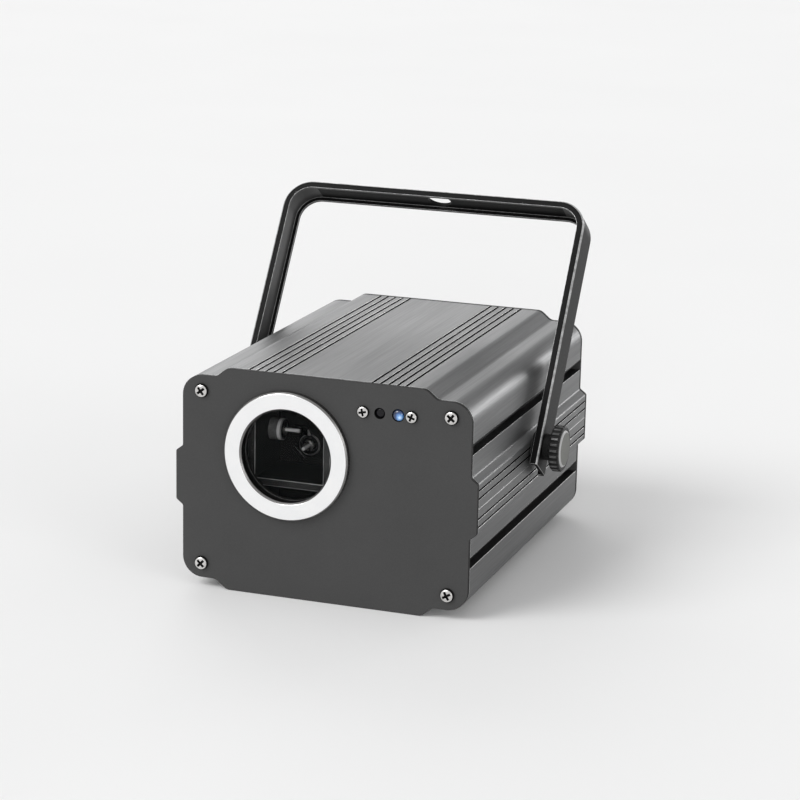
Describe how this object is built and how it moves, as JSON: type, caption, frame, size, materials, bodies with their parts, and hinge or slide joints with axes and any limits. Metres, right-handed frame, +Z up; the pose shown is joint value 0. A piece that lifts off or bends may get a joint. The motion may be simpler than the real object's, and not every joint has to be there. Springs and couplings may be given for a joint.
{
  "type": "laser show projector",
  "caption": "Compact laser show projector: ribbed two-shell housing, round light window, and a hanging bracket that tilts on two clamp knobs.",
  "frame": {"origin": "centre of the housing's flat underside", "axes": "+Z up from the underside, light leaves the window towards -Y, +X to the right seen from the front"},
  "size_m": [0.1566, 0.166, 0.1489],
  "materials": {
    "shell_aluminium": "dark grey anodised extrusion, satin",
    "panel_paint": "dark grey powder coat, matt",
    "bracket_paint": "black paint, satin",
    "bright_chrome": "polished",
    "bright_steel": "bright plated",
    "black_plastic": "moulded, matt",
    "grey_plastic": "moulded, satin",
    "blue_lens": "tinted lens",
    "display_lens": "dark red tinted window",
    "clear_glass": "clear, flat",
    "black_rubber": "matt",
    "board_laminate": "solder mask",
    "mirror_glass": "front silvered",
    "black_aluminium": "black anodised",
    "bare_aluminium": "machined",
    "turned_brass": "turned, nickel flash on the contacts",
    "guard_wire": "bright wire"
  },
  "bodies": {
    "housing": {"upper_shell": "shell_aluminium", "lower_shell": "shell_aluminium", "front_panel": "panel_paint", "rear_panel": "panel_paint", "window_bezel": "bright_chrome", "front_panel_screws": "bright_steel", "rear_panel_screws": "bright_steel", "sensor_board_screws": "bright_steel", "bench_screws": "bright_steel", "board_screws": "bright_steel", "fan_screws": "bright_steel", "bezel_nut": "bright_steel", "ir_receiver": "black_plastic", "fan_frame": "black_plastic", "power_inlet": "black_plastic", "power_switch_body": "black_plastic", "signal_socket": "black_plastic", "friction_washers": "black_plastic", "board_components": "black_plastic", "glass_retaining_ring": "black_plastic", "indicator_led": "blue_lens", "menu_display": "display_lens", "window_glass": "clear_glass", "window_gasket": "black_rubber", "sensor_board": "board_laminate", "driver_board": "board_laminate", "power_board": "board_laminate", "control_board": "board_laminate", "fold_mirror": "mirror_glass", "optics_plate": "black_aluminium", "scanner_mount": "black_aluminium", "laser_clamp": "black_aluminium", "fold_mirror_post": "black_aluminium", "laser_module": "bare_aluminium", "laser_heat_sink": "bare_aluminium", "tilt_motor": "bare_aluminium", "pan_motor": "bare_aluminium", "pivot_inserts": "turned_brass", "standoffs": "turned_brass", "power_inlet_pins": "turned_brass", "signal_contacts": "turned_brass", "fan_guard": "guard_wire"},
    "bracket": {"bracket": "bracket_paint"},
    "knob_left_screw": {"knob_stud_left": "bright_steel"},
    "knob_left": {"knob_grip_left": "black_plastic", "knob_cap_left": "grey_plastic"},
    "knob_right_screw": {"knob_stud_right": "bright_steel"},
    "knob_right": {"knob_grip_right": "black_plastic", "knob_cap_right": "grey_plastic"},
    "tilt_scanner": {"tilt_shaft": "bright_steel", "tilt_mirror": "mirror_glass"},
    "pan_scanner": {"pan_shaft": "bright_steel", "pan_mirror": "mirror_glass"},
    "fan": {"fan_rotor": "black_plastic"},
    "rocker": {"power_switch_rocker": "black_plastic"},
    "menu_key_1": {"menu_button_1": "black_plastic"},
    "menu_key_2": {"menu_button_2": "black_plastic"},
    "menu_key_3": {"menu_button_3": "black_plastic"},
    "menu_key_4": {"menu_button_4": "black_plastic"}
  },
  "joints": [
    {"name": "bracket_tilt", "type": "hinge", "parent": "housing", "child": "bracket", "pos_m": [0, -0.001, 0.0537], "axis": [1, 0, 0], "continuous": true},
    {"name": "knob_left_advance", "type": "slide", "parent": "housing", "child": "knob_left_screw", "axis": [-1, 0, 0], "range_m": [0, 0.0016]},
    {"name": "knob_left_turn", "type": "hinge", "parent": "knob_left_screw", "child": "knob_left", "pos_m": [-0.074, -0.001, 0.0537], "axis": [-1, 0, 0], "range_deg": [0, 730]},
    {"name": "knob_right_advance", "type": "slide", "parent": "housing", "child": "knob_right_screw", "axis": [1, 0, 0], "range_m": [0, 0.0016]},
    {"name": "knob_right_turn", "type": "hinge", "parent": "knob_right_screw", "child": "knob_right", "pos_m": [0.074, -0.001, 0.0537], "axis": [1, 0, 0], "range_deg": [0, 730]},
    {"name": "tilt_scan", "type": "hinge", "parent": "housing", "child": "tilt_scanner", "pos_m": [-0.0253, -0.0395, 0.0596], "axis": [1, 0, 0], "range_deg": [-12, 12]},
    {"name": "pan_scan", "type": "hinge", "parent": "housing", "child": "pan_scanner", "pos_m": [-0.0253, -0.0395, 0.0516], "axis": [0, -1, 0], "range_deg": [-12, 12]},
    {"name": "fan_spin", "type": "hinge", "parent": "housing", "child": "fan", "pos_m": [-0.026, 0.0725, 0.056], "axis": [0, 1, 0], "continuous": true},
    {"name": "power_rock", "type": "hinge", "parent": "housing", "child": "rocker", "pos_m": [0.033, 0.0791, 0.022], "axis": [0, 0, -1], "range_deg": [0, 16]},
    {"name": "menu_press_1", "type": "slide", "parent": "housing", "child": "menu_key_1", "axis": [0, -1, 0], "range_m": [0, 0.0006], "stiffness_N_per_m": 500},
    {"name": "menu_press_2", "type": "slide", "parent": "housing", "child": "menu_key_2", "axis": [0, -1, 0], "range_m": [0, 0.0006], "stiffness_N_per_m": 500},
    {"name": "menu_press_3", "type": "slide", "parent": "housing", "child": "menu_key_3", "axis": [0, -1, 0], "range_m": [0, 0.0006], "stiffness_N_per_m": 500},
    {"name": "menu_press_4", "type": "slide", "parent": "housing", "child": "menu_key_4", "axis": [0, -1, 0], "range_m": [0, 0.0006], "stiffness_N_per_m": 500}
  ],
  "couplings": [
    {"joint": "knob_left_turn", "follows": "knob_left_advance", "rad_per_m": 7854},
    {"joint": "knob_right_turn", "follows": "knob_right_advance", "rad_per_m": 7854}
  ]
}
